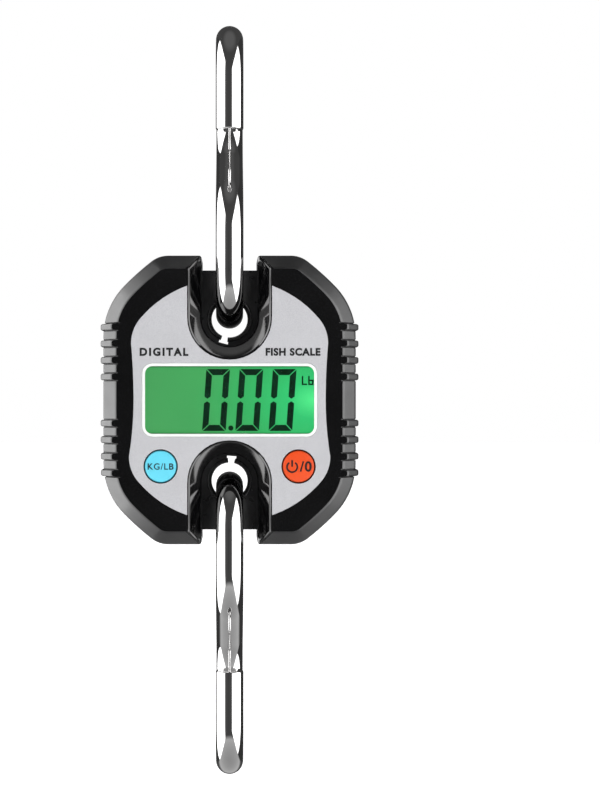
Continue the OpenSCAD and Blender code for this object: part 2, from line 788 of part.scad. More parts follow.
module eye_bush(gap_angle) {
    t = cell_t / 2 + bush_fit;
    b = bush_half_t;
    color([0.04, 0.04, 0.045]) difference() {
        rotate([90, 0, 0]) rotate_extrude($fn = 96) polygon(concat(
            [for (i = [-5:5]) let (y = b * i / 5) [bush_bore(y), y]],
            [[bush_flange_r, b], [bush_flange_r, t], [bush_out_r, t], [bush_out_r, -t],
                [bush_flange_r, -t], [bush_flange_r, -b]]));
        rotate([0, -gap_angle, 0]) slab(-b - 1, b + 1) polygon([
            [-bush_gap_w / 2, -bush_bore_r + 1], [bush_gap_w / 2, -bush_bore_r + 1],
            [bush_gap_w / 2 + 0.35, -bush_flange_r - 1], [-bush_gap_w / 2 - 0.35, -bush_flange_r - 1]]);
    }
}

// The hook's centreline runs in the YZ plane, with Y as its depth
module in_depth_plane() {
    rotate([90, 0, 90]) children();
}

module rod_arc(c, r, a0, a1) {
    in_depth_plane() translate([c[0], c[1], 0]) rotate([0, 0, a0])
        rotate_extrude(angle = a1 - a0, $fn = 96) translate([r, 0]) circle(r = rod_r);
}

module rod_line(a, b) {
    d = b - a;
    translate([0, a[0], a[1]]) rotate([-atan2(d[0], d[1]), 0, 0]) cylinder(r = rod_r, h = norm(d));
}

// Half of a hook about its own centre: the tip, the crown and the shank down to the middle
module half_hook() {
    tip_w = hook_h / 2 - tip_reach;
    bend_c = [loop_r - shank_bend_r, shank_w];
    bend_end = bend_c + shank_bend_r * [cos(shank_lean), -sin(shank_lean)];
    translate([0, -loop_r, tip_w]) cylinder(r1 = rod_r - tip_chamfer, r2 = rod_r, h = tip_chamfer);
    rod_line([-loop_r, tip_w + tip_chamfer], [-loop_r, loop_w]);
    rod_arc([0, loop_w], loop_r, 0, 180);
    rod_line([loop_r, shank_w], [loop_r, loop_w]);
    rod_arc(bend_c, shank_bend_r, 0, -shank_lean);
    rod_line([0, 0], bend_end);
    translate([0, bend_end[0], bend_end[1]]) sphere(r = rod_r + weld_swell);
}

module hook() {
    half_hook();
    rotate([180, 0, 0]) half_hook();
}

module top_hook() {
    color([0.75, 0.76, 0.78]) translate([0, 0, hook_z]) hook();
}

module bottom_hook() {
    color([0.75, 0.76, 0.78]) rotate([0, 180, 0]) translate([0, 0, hook_z]) hook();
}

// ---------------------------------------------------------------- nodes

front_housing();
rear_housing();
face_panel();
window_frame();
window_lens();
lcd_gasket();
lcd_glass();
lcd_segments();
lcd_backlight();
backlight_leds();
lcd_pins();
main_pcb();
pcb_components();
pcb_screws();
switch_base(-1);  // unit_switch_base
switch_base(1);  // power_switch_base
switch_plunger(-1, [0.9, 0.9, 0.88]);  // unit_switch_plunger
switch_plunger(1, [0.9, 0.9, 0.88]);  // power_switch_plunger
key(-1, [0.35, 0.85, 1]);  // unit_button
key(1, [1, 0.3, 0.1]);  // power_button
load_cell();
strain_gauges();
load_cell_screws();
gauge_wires();
battery_wire(-1, [0.8, 0.06, 0.05]);  // battery_wire_red
battery_wire(1, [0.04, 0.04, 0.04]);  // battery_wire_black
battery(1);  // battery_upper
battery(-1);  // battery_lower
battery_springs();
battery_contacts();
battery_door();
housing_screws();
translate([0, 0, eye_z]) eye_bush(bush_gap_angle_top);  // top_eye_bush
translate([0, 0, -eye_z]) rotate([0, 180, 0]) eye_bush(bush_gap_angle_bottom);  // bottom_eye_bush
top_hook();
bottom_hook();
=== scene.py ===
"""The looks of the hanging digital scale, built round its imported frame.

Shapes are worked out in millimetres, like the design. mesh_from() and lettering() turn them
into metres.
"""

import json
import math

import bmesh
import bpy
from mathutils import Matrix, Vector


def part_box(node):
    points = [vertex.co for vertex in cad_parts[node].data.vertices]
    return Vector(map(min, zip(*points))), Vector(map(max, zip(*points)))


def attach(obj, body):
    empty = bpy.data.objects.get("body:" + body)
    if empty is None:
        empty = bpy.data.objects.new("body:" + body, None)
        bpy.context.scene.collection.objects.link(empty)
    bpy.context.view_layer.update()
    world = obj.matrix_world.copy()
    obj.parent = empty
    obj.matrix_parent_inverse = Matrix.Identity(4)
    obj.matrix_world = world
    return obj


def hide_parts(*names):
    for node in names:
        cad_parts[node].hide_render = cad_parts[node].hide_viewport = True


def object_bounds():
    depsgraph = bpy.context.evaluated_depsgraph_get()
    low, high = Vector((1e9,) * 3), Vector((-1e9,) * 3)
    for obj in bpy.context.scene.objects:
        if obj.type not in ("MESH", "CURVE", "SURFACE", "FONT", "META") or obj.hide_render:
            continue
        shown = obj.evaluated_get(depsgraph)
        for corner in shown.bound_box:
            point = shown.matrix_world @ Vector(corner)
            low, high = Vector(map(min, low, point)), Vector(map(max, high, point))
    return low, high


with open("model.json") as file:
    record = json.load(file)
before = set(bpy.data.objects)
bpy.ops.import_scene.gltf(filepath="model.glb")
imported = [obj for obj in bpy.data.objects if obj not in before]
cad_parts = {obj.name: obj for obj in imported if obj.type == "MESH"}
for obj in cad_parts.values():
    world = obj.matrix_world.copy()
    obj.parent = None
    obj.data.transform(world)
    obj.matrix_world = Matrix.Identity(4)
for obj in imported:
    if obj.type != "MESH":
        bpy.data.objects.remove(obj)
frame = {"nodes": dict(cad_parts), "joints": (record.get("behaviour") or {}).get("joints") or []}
cad_low, cad_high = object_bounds()

MM = 0.001
joint_at = {j["name"]: [c / MM for c in j.get("pos_m", (0, 0, 0))] for j in frame["joints"]}


def box_mm(node):
    """The lowest and highest corner of a CAD node, in millimetres."""
    low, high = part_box(node)
    return low / MM, high / MM


# ---------------------------------------------------------------- sizes

front_low, front_high = box_mm("front_housing")
rear_low, rear_high = box_mm("rear_housing")
hook_low, hook_high = box_mm("top_hook")
cell_low, cell_high = box_mm("load_cell")
door_low, door_high = box_mm("battery_door")
Y_FRONT = front_low.y
Y_SPLIT = front_high.y
Y_BACK = rear_high.y
HALF_H = front_high.z
EYE_Z = joint_at["top_hook_swing"][2]

RIB_OUT = 0.9
HALF_W = front_high.x - RIB_OUT
RIB_LAND_X = 38.7
RIB_FIRST_Z = 7.6
RIB_PITCH = 5.45
RIB_COUNT = 4
# Across one rib: the offset from its middle, and the height as a share of the full height
RIB_PROFILE = (
    (-1.5, 0), (-1.32, -0.34), (-1.14, -0.2), (-1.06, 0.5), (-0.86, 0.86), (-0.5, 1),
    (0.5, 1), (0.86, 0.86), (1.06, 0.5), (1.14, -0.2), (1.32, -0.34), (1.5, 0),
)

BEVEL_W = 4.4
BEVEL_D = 5
SLOT_R = 9.2
NOTCH_BEVEL_W = 4.1
# Past the bevel, how far a notch's edge moves in for each millimetre of the outer edge
LIP_SHARE = 0.45
EAR_CORNER_R = 0.9
WALL = 2
# The fine seam at the split, as insets and depths from it
SEAM_PROFILE = [(0.16, 0), (0.05, 0.06), (0, 0.2)]
# How far each of the bevel's soft edges reaches before and after its corner
SOFT_FOOT = (0.8, 0.65)
SOFT_CREST = (0.45, 0.5)
# The hollow starts to narrow this far before the bevel, and ends this far in from it
HOLLOW_STEP = 0.9
HOLLOW_INSET = 1.1
# How far from a notch, a well, the panel and the bevel at the top the satin finish starts
RIM_FROM_NOTCH = 1.2
RIM_FROM_WELL = 0.2
RIM_FROM_PANEL = 1.5
RIM_FROM_TOP = 1
# On the shoulders it starts where x and z add up to this
RIM_CORNER = 62.5
# A face counts as flat when its normal's share along the depth is at least this
FLAT_NORMAL = 0.97
SHOULDER_R = 9
FLANK_R = 88
SIDE_R = 24
SHOULDER_NORMAL = math.radians(52)
FLANK_NORMAL = math.radians(44)

PANEL_RECESS = 0.5
PANEL_GAP = 0.1
# The recess as a multiple of the panel's own outline
PANEL_ROOM = 1.003
PANEL_WAIST = 31.35
PANEL_BULGE_TOP = 32.15
PANEL_BULGE_BOTTOM = 32.85
PANEL_BULGE_Z = 18.5
PANEL_CORNER_R = 12.5
PANEL_CORNER_TURN = 40
PANEL_BROW_R = 36.4
PANEL_BROW_TURN = 34
PANEL_LIP = 0.55
# Width, height and corner radius
WINDOW = (55.2, 22.1, 2.4)

KEY_R = 5.1
KEY_HOLE_R = 5.35
KEY_CROWN_R = KEY_R - 0.35
KEY_DOME = 0.2
KEY_DOME_STEPS = (0.8, 1.8, 2.8, 3.7, KEY_CROWN_R)
# How deep the key's soft edge has its corner and its end
KEY_EDGE = (0.22, 0.75)
KEY_STEM_R = 1.6
FLANGE_GAP = 0.05
FLANGE_T = 0.8

# Print stands this far out of its face, and the rest of its thickness is sunk in
PRINT_PROUD = 0.02
PRINT_T = 0.24
MARK_T = 0.3
LABEL_Z = 15.7
# The piece's name, its words, their width, the middle's x and the letter spacing
LABELS = (
    ("label_left", "DIGITAL", 15.9, -21.4, 1.3),
    ("label_right", "FISH SCALE", 17.9, 20.7, 1.12),
)
LABEL_WEIGHT = 0.05

# Where the screws on the right are, as x and z
SCREW_TOP = (28.9, 30.45)
SCREW_BOTTOM = (26.3, -33.6)
WELL_R = 3.3
WELL_RIM_R = 3.75
WELL_FLOOR_Y = 7.5
WELL_CHAMFER = 0.45
BOSS_R = 4.6
BOSS_GAP = 0.05
CELL_GAP = 0.3
# A joined-on wall ends this deep in the shell that it stands on
ROOT = 0.5
# Width, height and corner radius
BAY = (51.4, 22, 0.6)
BAY_WALL = 1.2
BAY_FLOOR_Y = 3.7
BAY_FLOOR_T = 1
DOOR_RECESS = (60, 25, 0.7)
RECESS_CHAMFER = 0.12
DOOR_T = 1.5
DOOR_GAP = 0.08
DOOR_FACE_GAP = 0.02
DOOR_CORNER_R = 0.6
HINGE_PIN = 0.9
HINGE_PIN_R = 0.5
# The notch for a fingertip in the recess's edge, as x and z
FINGER_NOTCH = [(29, -4.5), (31, -4.5), (31, 4.5), (29, 4.5)]
FINGER_NOTCH_DEPTH = 0.9
LATCH_X = (24.3, 25.3)
LATCH_HALF_W = 4
LATCH_REACH = 1.1
LATCH_ROOT = 0.2
# The grip's grooves: width, height and corner radius of each
GROOVE = (0.6, 8, 0.29)
GROOVE_DEPTH = 0.35
GROOVE_PITCH = 1.2
GROOVE_COUNT = 3
GROOVE_FROM_END = 4.6

ROD_R = hook_high.x
LOOP_R = hook_high.y - ROD_R
HOOK_Z = (hook_low.z + hook_high.z) / 2
LOOP_W = (hook_high.z - hook_low.z) / 2 - ROD_R - LOOP_R
TIP_REACH = 36.8
SHANK_BEND_R = 18
# The shank leans by a 3, 4, 5 triangle
SHANK_LEAN = math.atan2(4, 3)
TIP_ROUND = 0.55
# The share of the tip's rounding that its first slope has
TIP_ROUND_START = 0.3

BUSH_BORE_R = 6
BUSH_MOUTH_R = 6.7
BUSH_OUT_R = 7
BUSH_FLANGE_R = 7.5
BUSH_HALF_T = 3.55
BUSH_FLANGE_T = 0.5
BUSH_GAP_W = 1.9

SPRING_WIRE_R = 0.35
SPRING_TURNS = 4
SPRING_GAP = 0.02
SPRING_WIDE_R = 3.2
SPRING_TIP_R = 1.9
TURN_STEPS = 24

# The tools that cut through a face reach this far past it
PAST = 1
# Corners nearer than this are one corner
WELD_MM = 0.001
SHARP_DEGREES = 50


# ---------------------------------------------------------------- mesh tools

def arc(centre, radius, start, end, steps, first=0):
    """Points on an arc in a plane; start and end are in radians."""
    angles = [start + (end - start) * i / steps for i in range(first, steps + 1)]
    return [(centre[0] + radius * math.cos(a), centre[1] + radius * math.sin(a)) for a in angles]


def bend(p0, p1, p2, steps, first=0):
    """Points on a smooth bend from p0 to p2 that replaces the corner p1."""
    shares = [i / steps for i in range(first, steps + 1)]
    return [
        tuple((1 - t) ** 2 * a + 2 * t * (1 - t) * b + t * t * c for a, b, c in zip(p0, p1, p2))
        for t in shares
    ]


def at_depth(loop, y):
    """A loop of (x, z) points as points in space, at one depth."""
    return [(x, y, z) for x, z in loop]


def circle(radius, y, centre=(0, 0), steps=64):
    return at_depth(arc(centre, radius, 0, 2 * math.pi * (1 - 1 / steps), steps - 1), y)


def rounded_rect(size, grow=0, centre=(0, 0), steps=6):
    """A rectangle as (x, z) points; size is its width, height and corner radius."""
    w, h, r = size[0] / 2 + grow, size[1] / 2 + grow, max(size[2] + grow, 0.1)
    corners = ((w - r, h - r, 0), (r - w, h - r, 1), (r - w, r - h, 2), (w - r, r - h, 3))
    return [
        (centre[0] + p[0], centre[1] + p[1])
        for x, z, turn in corners
        for p in arc((x, z), r, turn * math.pi / 2, (turn + 1) * math.pi / 2, steps)
    ]


def smooth_by_angle(mesh, degrees):
    mesh.polygons.foreach_set("use_smooth", [True] * len(mesh.polygons))
    mesh.set_sharp_from_angle(angle=math.radians(degrees))


def mesh_from(name, points, faces):
    """A mesh in metres from points in millimetres, with its faces turned outwards."""
    mesh = bpy.data.meshes.new(name)
    mesh.from_pydata([Vector(p) * MM for p in points], [], faces)
    shape = bmesh.new()
    shape.from_mesh(mesh)
    bmesh.ops.recalc_face_normals(shape, faces=shape.faces)
    shape.to_mesh(mesh)
    shape.free()
    return mesh


def stack(name, rings):
    """A closed solid through rings of equal length, capped at both ends."""
    n = len(rings[0])
    points = [p for ring in rings for p in ring]
    faces = [
        (i * n + k, i * n + (k + 1) % n, (i + 1) * n + (k + 1) % n, (i + 1) * n + k)
        for i in range(len(rings) - 1)
        for k in range(n)
    ]
    faces += [tuple(range(n)), tuple(range(len(points) - n, len(points)))]
    piece = bpy.data.objects.new(name, mesh_from(name, points, faces))
    bpy.context.scene.collection.objects.link(piece)
    return piece


def prism(name, loop, y0, y1):
    return stack(name, [at_depth(loop, y0), at_depth(loop, y1)])


def block(name, low, high):
    loop = [(low[0], low[2]), (high[0], low[2]), (high[0], high[2]), (low[0], high[2])]
    return prism(name, loop, low[1], high[1])


def tube(name, path, radii, sides=48):
    """A round rod along a path of points, with one radius for each."""
    path = [Vector(p) for p in path]
    last = len(path) - 1
    ways = [
        (path[min(i + 1, last)] - path[max(i - 1, 0)]).normalized()
        for i in range(len(path))
    ]
    side = ways[0].orthogonal().normalized()
    turns = [2 * math.pi * k / sides for k in range(sides)]
    rings = []
    for centre, way, radius in zip(path, ways, radii):
        side = (side - way * side.dot(way)).normalized()
        across = way.cross(side)
        rings.append(
            [centre + (side * math.cos(t) + across * math.sin(t)) * radius for t in turns])
    return stack(name, rings)


def carve(piece, cutter, operation="DIFFERENCE"):
    """Cuts the cutter out of the piece, or joins it on with UNION, and deletes the cutter."""
    step = piece.modifiers.new("carve", "BOOLEAN")
    step.operation = operation
    step.object = cutter
    step.solver = "EXACT"
    seen = bpy.context.evaluated_depsgraph_get()
    mesh = bpy.data.meshes.new_from_object(piece.evaluated_get(seen))
    piece.modifiers.clear()
    piece.data = mesh
    bpy.data.objects.remove(cutter)


def dress(piece, body, material, replaced=(), sharp=34):
    """Gives a finished piece its shading, material and body.

    The CAD nodes that it stands for are hidden.
    """
    smooth_by_angle(piece.data, sharp)
    steady = piece.modifiers.new("steady_normals", "WEIGHTED_NORMAL")
    steady.keep_sharp = True
    piece.data.materials.clear()
    piece.data.materials.append(material)
    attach(piece, body)
    if replaced:
        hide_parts(*replaced)
    return piece


def soften(node, width_mm, segments=2):
    """A small bevel on the sharp edges of a CAD node, so that they catch the light."""
    part = frame["nodes"][node]
    part.modifiers.new("joined", "WELD").merge_threshold = WELD_MM * MM
    edge = part.modifiers.new("soft_edges", "BEVEL")
    edge.width = width_mm * MM
    edge.segments = segments
    edge.limit_method = "ANGLE"
    edge.angle_limit = math.radians(SHARP_DEGREES)
    edge.harden_normals = True


# ---------------------------------------------------------------- materials

# How many times wider the glow is than high, and the width of the painted shadow of the window frame
# along the display's top and bottom edges
GLOW_SQUASH = 1.35
PAINTED_FRAME_SHADOW_MM = 0.75
# Half the length of the printed foil
FOIL_HALF = 23

def new_material(name, color, roughness, metallic=0.0, **sockets):
    """A material whose shader has these values on its own sockets."""
    material = bpy.data.materials.new(name)
    material.use_nodes = True
    shader = material.node_tree.nodes["Principled BSDF"]
    shader.inputs["Base Color"].default_value = (*color, 1)
    shader.inputs["Roughness"].default_value = roughness
    shader.inputs["Metallic"].default_value = metallic
    for socket, value in sockets.items():
        shader.inputs[socket.replace("_", " ")].default_value = value
    return material


def node_of(material, kind, **inputs):
    """A new shader node, with the given values on its inputs."""
    node = material.node_tree.nodes.new(kind)
    for name, value in inputs.items():
        node.inputs[name.replace("_", " ")].default_value = value
    return node


def link(material, source, target):
    material.node_tree.links.new(source, target)


def shader_of(material):
    return material.node_tree.nodes["Principled BSDF"]


def place(material, stretch=(1, 1, 1)):
    """The surface's own position in metres, stretched along the row's axes."""
    where = node_of(material, "ShaderNodeTexCoord")
    mapping = node_of(material, "ShaderNodeMapping", Scale=stretch)
    link(material, where.outputs["Object"], mapping.inputs["Vector"])
    return mapping.outputs["Vector"]


def speckle(material, scale, stretch=(1, 1, 1), detail=4.0):
    """Noise from 0 to 1; a higher scale is finer, and a smaller stretch draws it out along that axis."""
    texture = node_of(material, "ShaderNodeTexNoise", Scale=scale, Detail=detail)
    link(material, place(material, stretch), texture.inputs["Vector"])
    return texture.outputs["Fac"]


def remap(material, value, low, high, start=0.3, end=0.7):
    """Spreads a texture's value between low and high."""
    node = node_of(
        material, "ShaderNodeMapRange", From_Min=start, From_Max=end, To_Min=low, To_Max=high)
    link(material, value, node.inputs["Value"])
    return node.outputs["Result"]


def ramp(material, value, stops):
    """Colours at places from 0 to 1 along a value."""
    node = node_of(material, "ShaderNodeValToRGB")
    elements = node.color_ramp.elements
    while len(elements) < len(stops):
        elements.new(0.5)
    for element, (position, color) in zip(elements, stops):
        element.position = position
        element.color = (*color, 1)
    link(material, value, node.inputs["Fac"])
    return node.outputs["Color"]


def greys(*stops):
    """Stops for ramp() from places and shades of grey."""
    return [(position, (shade,) * 3) for position, shade in stops]


def math_of(material, operation, *values):
    """The result of a math node; each value is another node's output or a number."""
    node = node_of(material, "ShaderNodeMath")
    node.operation = operation
    for target, value in zip(node.inputs, values):
        if isinstance(value, (int, float)):
            target.default_value = value
        else:
            link(material, value, target)
    return node.outputs[0]


def mixed(material, share, first, second, blend="MIX"):
    """Two colours mixed; the share of the second is another node's output or a number."""
    node = node_of(material, "ShaderNodeMix")
    node.data_type = "RGBA"
    node.blend_type = blend
    factor, color_a, color_b = node.inputs[0], node.inputs[6], node.inputs[7]
    if isinstance(share, (int, float)):
        factor.default_value = share
    else:
        link(material, share, factor)
    link(material, first, color_a)
    link(material, second, color_b)
    return node.outputs[2]


def axes_of(material, where):
    """The X, Y and Z of a position."""
    split = node_of(material, "ShaderNodeSeparateXYZ")
    link(material, where, split.inputs["Vector"])
    return split.outputs


def tinted(material, value, dark, light):
    """Lets a value choose the base colour."""
    color = ramp(material, value, ((0.3, dark), (0.7, light)))
    link(material, color, shader_of(material).inputs["Base Color"])


def rough(material, value, low, high):
    """Lets a value choose the roughness."""
    link(material, remap(material, value, low, high), shader_of(material).inputs["Roughness"])


def bumped(material, value, height_mm, strength=0.5):
    """Lets a value raise the surface a little."""
    node = node_of(material, "ShaderNodeBump", Strength=strength, Distance=height_mm * MM)
    link(material, value, node.inputs["Height"])
    link(material, node.outputs["Normal"], shader_of(material).inputs["Normal"])


def moulded(name, dark, light, smoothest, roughest, grain=2600, grain_mm=0.012, **sockets):
    """Moulded plastic: a fine spark-eroded grain, with slow changes of gloss and shade."""
    material = new_material(name, light, roughest, **sockets)
    tinted(material, speckle(material, 90), dark, light)
    rough(material, speckle(material, 240, detail=8), smoothest, roughest)
    bumped(material, speckle(material, grain, detail=2), grain_mm, 0.35)
    return material


def case_gloss():
    """Polished black plastic of the face and the notches."""
    return moulded(
        "case_gloss", (0.0015, 0.0015, 0.0018), (0.003, 0.003, 0.0034), 0.05, 0.11, 1500, 0.003,
        Specular_IOR_Level=0.8, Coat_Weight=0.7, Coat_Roughness=0.04)


def case_satin():
    """Fine-grained black plastic of the bevels and the grip ribs."""
    return moulded(
        "case_satin", (0.008, 0.008, 0.0085), (0.016, 0.016, 0.0165), 0.3, 0.42, 3200, 0.02,
        Specular_IOR_Level=1.0, Coat_Weight=0.4, Coat_Roughness=0.3)


def case_back():
    """Lightly grained black plastic of the flat back and the battery door."""
    return moulded(
        "case_back", (0.004, 0.004, 0.0043), (0.008, 0.008, 0.0084), 0.28, 0.4, 3000, 0.016)


def silver_paint():
    """Metallic paint: fine flakes, a soft gloss and faint cloudiness."""
    material = new_material(
        "silver_paint", (0.6, 0.6, 0.62), 0.4, metallic=0.25, Coat_Weight=0.25,
        Coat_Roughness=0.2)
    flakes = node_of(material, "ShaderNodeTexVoronoi", Scale=5200.0)
    link(material, place(material), flakes.inputs["Vector"])
    tinted(material, flakes.outputs["Distance"], (0.66, 0.66, 0.68), (0.56, 0.56, 0.585))
    rough(material, speckle(material, 130), 0.34, 0.46)
    bumped(material, flakes.outputs["Distance"], 0.006, 0.3)
    return material


def polished_steel():
    """Bent round bar, polished along its length: bright, with fine scratches and a faint haze."""
    material = new_material("polished_steel", (0.8, 0.8, 0.815), 0.12, metallic=1.0)
    scratches = speckle(material, 900, stretch=(1, 1, 0.04), detail=6)
    tinted(material, speckle(material, 60), (0.74, 0.735, 0.735), (0.86, 0.855, 0.85))
    rough(material, scratches, 0.03, 0.11)
    bumped(material, scratches, 0.006, 0.16)
    return material


def coated_steel():
    """Black coated plate with an orange-peel skin."""
    material = new_material("coated_steel", (0.012, 0.012, 0.013), 0.35)
    tinted(material, speckle(material, 200), (0.008, 0.008, 0.009), (0.018, 0.018, 0.019))
    rough(material, speckle(material, 350), 0.25, 0.42)
    bumped(material, speckle(material, 1500, detail=2), 0.02, 0.4)
    return material


def small_steel(name, shade):
    """Plated steel of screws, springs and pins, with turning marks."""
    material = new_material(name, (shade,) * 3, 0.28, metallic=1.0)
    marks = speckle(material, 2200, stretch=(1, 0.2, 1), detail=5)
    tinted(material, marks, (shade * 0.75,) * 3, (shade * 1.1,) * 3)
    rough(material, marks, 0.18, 0.4)
    bumped(material, marks, 0.01, 0.3)
    return material


def lit_display(width_mm, height_mm):
    """The back-lit green: brightest at the lamps on the right, with a painted shadow of the window frame
    darkening it along its top and bottom edges.
    """
    material = new_material("lit_display", (0.01, 0.05, 0.02), 0.25, Specular_IOR_Level=0.1)
    reach = node_of(material, "ShaderNodeTexGradient")
    reach.gradient_type = "SPHERICAL"
    lamps = node_of(
        material, "ShaderNodeMapping", Location=(width_mm / 2 * MM, 0, 0),
        Scale=(width_mm * MM, 1, width_mm * MM / GLOW_SQUASH))
    lamps.vector_type = "TEXTURE"
    link(material, place(material), lamps.inputs["Vector"])
    link(material, lamps.outputs["Vector"], reach.inputs["Vector"])
    glow = ramp(material, reach.outputs["Fac"], (
        (0.0, (0.07, 0.37, 0.11)), (0.3, (0.065, 0.39, 0.11)), (0.6, (0.04, 0.47, 0.13)),
        (0.85, (0.035, 0.6, 0.18)), (1.0, (0.1, 0.95, 0.3))))
    # Painted shadow: the glow is darkened towards the top and bottom edges, where the window frame
    # shades it.
    from_middle = math_of(material, "ABSOLUTE", axes_of(material, place(material))["Z"])
    edge = height_mm / 2
    frame_shadow_share = remap(material, from_middle, 0, 1, (edge - PAINTED_FRAME_SHADOW_MM) * MM, edge * MM)
    painted_frame_shadow = ramp(material, frame_shadow_share, (
        (0.0, (1.0,) * 3), (0.5, (0.8,) * 3), (1.0, (0.4, 0.42, 0.4))))
    faint = ramp(material, speckle(material, 120), greys((0.3, 0.95), (0.7, 1.0)))
    color = mixed(material, 1, glow, painted_frame_shadow, "MULTIPLY")
    color = mixed(material, 1, color, faint, "MULTIPLY")
    link(material, color, shader_of(material).inputs["Emission Color"])
    shader_of(material).inputs["Emission Strength"].default_value = 1.0
    return material


def clear_window():
    """Clear acrylic, with the lightest haze."""
    material = new_material(
        "clear_window", (0.97, 1.0, 0.98), 0.02, Transmission_Weight=1.0, IOR=1.45)
    rough(material, speckle(material, 400), 0.0, 0.03)
    return material


def circuit_board():
    """Green solder mask over a web of copper tracks."""
    material = new_material("circuit_board", (0.01, 0.12, 0.04), 0.3)
    tracks = node_of(material, "ShaderNodeTexBrick", Scale=260.0, Mortar_Size=0.06)
    link(material, place(material), tracks.inputs["Vector"])
    tinted(material, tracks.outputs["Fac"], (0.008, 0.1, 0.03), (0.03, 0.22, 0.07))
    rough(material, speckle(material, 500), 0.22, 0.4)
    bumped(material, tracks.outputs["Fac"], 0.03, 0.6)
    return material


def cell_wrap():
    """The printed foil of an AAA cell: a dark blue sleeve, a silver band and bare ends."""
    blue, silver, bare = (0.02, 0.07, 0.25), (0.65, 0.65, 0.66), (0.6, 0.6, 0.6)
    material = new_material("cell_wrap", blue, 0.25, metallic=0.6)
    length = axes_of(material, place(material))["X"]
    along = remap(material, length, 0, 1, -FOIL_HALF * MM, FOIL_HALF * MM)
    colors = ramp(material, along, (
        (0.0, bare), (0.03, blue), (0.72, blue), (0.73, silver),
        (0.78, silver), (0.79, blue), (0.965, blue), (0.97, bare)))
    link(material, colors, shader_of(material).inputs["Base Color"])
    rough(material, speckle(material, 300), 0.18, 0.34)
    bumped(material, speckle(material, 900), 0.01, 0.2)
    return material


def studio_white(name, glow):
    """The matt white of the floor, with a glow of its own that keeps it plain."""
    material = new_material(name, (0.93, 0.93, 0.94), 0.8)
    tinted(material, speckle(material, 3), (0.92, 0.92, 0.93), (0.94, 0.94, 0.95))
    shader_of(material).inputs["Emission Color"].default_value = (1, 1, 1, 1)
    shader_of(material).inputs["Emission Strength"].default_value = glow
    return material


SATIN = case_satin()
BACK_BLACK = case_back()
STEEL = polished_steel()


# ---------------------------------------------------------------- the case

# The centres of the three arcs from the side over the flank to the shoulder
shoulder_centre = Vector((
    HALF_W
    - SIDE_R * (1 - math.cos(FLANK_NORMAL))
    - FLANK_R * (math.cos(FLANK_NORMAL) - math.cos(SHOULDER_NORMAL))
    - SHOULDER_R * math.cos(SHOULDER_NORMAL),
    HALF_H - SHOULDER_R))
flank_centre = shoulder_centre + (SHOULDER_R - FLANK_R) * Vector(
    (math.cos(SHOULDER_NORMAL), math.sin(SHOULDER_NORMAL)))
side_centre = flank_centre + (FLANK_R - SIDE_R) * Vector(
    (math.cos(FLANK_NORMAL), math.sin(FLANK_NORMAL)))


def side_x(z, inset):
    """The x of the case's right side at a height, without its ribs."""
    if z <= side_centre.y:
        return HALF_W - inset
    return side_centre.x + math.sqrt((SIDE_R - inset) ** 2 - (z - side_centre.y) ** 2)


def rib_points(inset, ribbed):
    """The right side from the middle up to the last rib, with the ribs standing out of it."""
    crest = HALF_W + RIB_OUT - inset * (HALF_W + RIB_OUT - RIB_LAND_X) / BEVEL_W
    points = []
    for i in range(RIB_COUNT):
        for offset, rise in RIB_PROFILE:
            z = RIB_FIRST_Z + i * RIB_PITCH + offset
            base = side_x(z, inset)
            points.append((base + rise * (crest - base) * ribbed, z))
    return points


def case_quarter(inset, notch_inset, ribbed=1):
    """From the middle of the right side up, over the ear and down into the notch's floor."""
    side = [(HALF_W - inset, 0), (HALF_W - inset, RIB_FIRST_Z / 2)] + rib_points(inset, ribbed)
    past_ribs = math.asin((side[-1][1] - side_centre.y) / (SIDE_R - inset))
    slot_x = SLOT_R + notch_inset
    ear = (slot_x + EAR_CORNER_R, HALF_H - inset - EAR_CORNER_R)
    slot = [(slot_x, ear[1] + (EYE_Z - ear[1]) * i / 6) for i in range(1, 6)]
    return (
        side
        + arc(side_centre, SIDE_R - inset, past_ribs, FLANK_NORMAL, 10, 1)
        + arc(flank_centre, FLANK_R - inset, FLANK_NORMAL, SHOULDER_NORMAL, 6, 1)
        + arc(shoulder_centre, SHOULDER_R - inset, SHOULDER_NORMAL, math.pi / 2, 14, 1)
        + arc(ear, EAR_CORNER_R, math.pi / 2, math.pi, 6)
        + slot
        + arc((0, EYE_Z), slot_x, 0, -math.pi / 2, 24)
    )


def case_loop(inset, notch_inset, ribbed=1):
    """The case's whole outline, moved in by inset and round the notches by notch_inset."""
    right_top = case_quarter(inset, notch_inset, ribbed)
    left_top = [(-x, z) for x, z in reversed(right_top)]
    left_low = [(-x, -z) for x, z in right_top]
    right_low = [(x, -z) for x, z in reversed(right_top)]
    return right_top + left_top[1:] + left_low[1:] + right_low[1:-1]


def bevel_profile():
    """(inset, depth) pairs from the split to the flat face.

    They follow a fine seam, the wall, a soft edge, the bevel and another soft edge.
    """
    depth = Y_SPLIT - Y_FRONT
    foot = depth - BEVEL_D
    slope = BEVEL_D / BEVEL_W
    wall_end, bevel_start = SOFT_FOOT
    bevel_end, face_start = SOFT_CREST
    crest = (BEVEL_W - bevel_end, depth - bevel_end * slope)
    return (
        SEAM_PROFILE
        + [(0, foot / 2)]
        + bend((0, foot - wall_end), (0, foot), (bevel_start, foot + bevel_start * slope), 6)
        + bend(crest, (BEVEL_W, depth), (BEVEL_W + face_start, depth), 5)
    )


def notch_inset_for(inset):
    """How far a notch's edge moves in where the outer edge has moved in by inset."""
    on_bevel = min(inset, BEVEL_W) * NOTCH_BEVEL_W / BEVEL_W
    return on_bevel + max(inset - BEVEL_W, 0) * LIP_SHARE


